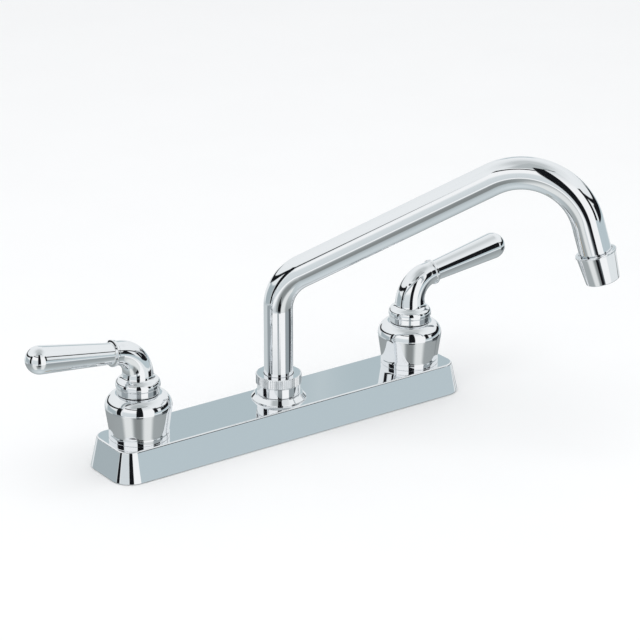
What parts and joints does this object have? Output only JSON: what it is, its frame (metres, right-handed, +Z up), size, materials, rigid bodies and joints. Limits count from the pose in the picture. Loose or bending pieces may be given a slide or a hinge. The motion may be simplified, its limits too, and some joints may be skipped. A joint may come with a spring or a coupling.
{
  "type": "two handle kitchen faucet",
  "caption": "Deck-mounted kitchen faucet with a long low plate, bell-shaped hubs, quarter-turn lever handles and a swinging high-rise tube spout with an aerator.",
  "frame": {"origin": "on the sink deck, midway between the axes of the supply shanks and on the axis of the spout's swivel", "axes": "+X runs to the right handle, -Y to the person at the sink, +Z up from the deck"},
  "size_m": [0.3522, 0.172, 0.239],
  "materials": {
    "chrome": "polished chrome plate",
    "brass": "machined brass",
    "copper": "drawn copper tube",
    "rubber": "moulded black rubber",
    "ceramic": "lapped white alumina",
    "steel": "zinc-plated and stainless steel",
    "plastic": "moulded white acetal"
  },
  "bodies": {
    "fixed_parts": {"base_cover": "chrome", "base_gasket": "rubber", "bonnet_nut_left": "brass", "bonnet_nut_right": "brass", "cartridge_body_left": "brass", "cartridge_body_right": "brass", "crossover_tube_left": "copper", "crossover_tube_right": "copper", "fixed_disc_left": "ceramic", "fixed_disc_right": "ceramic", "hub_left": "chrome", "hub_right": "chrome", "inlet_seal_left": "rubber", "inlet_seal_right": "rubber", "locknut_left": "plastic", "locknut_right": "plastic", "mounting_washer_left": "steel", "mounting_washer_right": "steel", "spout_collar": "chrome", "spout_nut": "chrome", "spout_post": "brass", "valve_body_left": "brass", "valve_body_right": "brass"},
    "left_handle": {"turning_disc_left": "ceramic", "valve_stem_left": "brass", "stem_o_ring_left": "rubber", "handle_lever_left": "chrome", "handle_screw_left": "steel"},
    "right_handle": {"turning_disc_right": "ceramic", "valve_stem_right": "brass", "stem_o_ring_right": "rubber", "handle_lever_right": "chrome", "handle_screw_right": "steel"},
    "spout": {"spout_tube": "chrome", "spout_spigot": "brass", "spout_o_rings": "rubber", "glide_ring": "plastic", "outlet_adapter": "chrome", "aerator_housing": "chrome", "aerator_washer": "rubber", "aerator_insert": "plastic"}
  },
  "joints": [
    {"name": "left_handle_turn", "type": "hinge", "parent": "fixed_parts", "child": "left_handle", "pos_m": [-0.1016, 0, 0.0467], "axis": [0, 0, 1], "range_deg": [0, 90]},
    {"name": "right_handle_turn", "type": "hinge", "parent": "fixed_parts", "child": "right_handle", "pos_m": [0.1016, 0, 0.0467], "axis": [0, 0, 1], "range_deg": [-90, 0]},
    {"name": "spout_swing", "type": "hinge", "parent": "fixed_parts", "child": "spout", "pos_m": [0, 0, 0.031], "axis": [0, 0, 1], "continuous": true}
  ]
}
